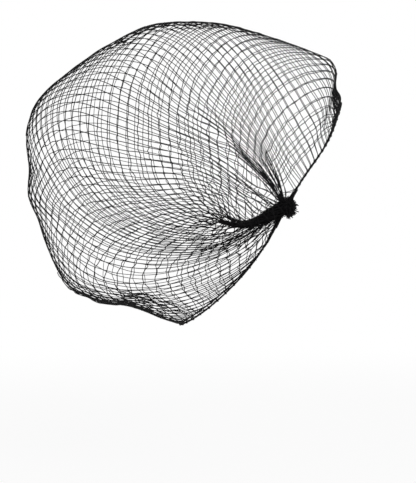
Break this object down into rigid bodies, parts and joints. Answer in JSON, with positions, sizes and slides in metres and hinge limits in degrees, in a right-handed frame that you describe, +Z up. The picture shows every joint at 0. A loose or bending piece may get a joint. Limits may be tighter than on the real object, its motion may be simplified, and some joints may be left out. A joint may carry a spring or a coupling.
{
  "type": "hair net",
  "caption": "Open knotted hair net in its worn shape, bunched into a gather and a tied tuft at each side and edged front and back by a covered elastic cord.",
  "frame": {"origin": "midway between the two side knots, at the centre of the head opening", "axes": "+X the way the wearer faces, +Y the wearer's left, +Z up"},
  "size_m": [0.2434, 0.1922, 0.2342],
  "materials": {
    "net_cord": "matte",
    "elastic_cover": "matte",
    "elastic_core": "matte",
    "thread": "satin"
  },
  "bodies": {
    "root": {"net": "net_cord", "front_elastic_cover": "elastic_cover", "front_elastic_core": "elastic_core", "nape_elastic_cover": "elastic_cover", "nape_elastic_core": "elastic_core", "right_gather": "net_cord", "left_gather": "net_cord", "right_stitches": "thread", "left_stitches": "thread", "right_binding": "thread", "left_binding": "thread", "right_tuft": "net_cord", "left_tuft": "net_cord", "right_front_tail": "elastic_cover", "left_front_tail": "elastic_cover", "right_nape_tail": "elastic_cover", "left_nape_tail": "elastic_cover"}
  },
  "joints": []
}
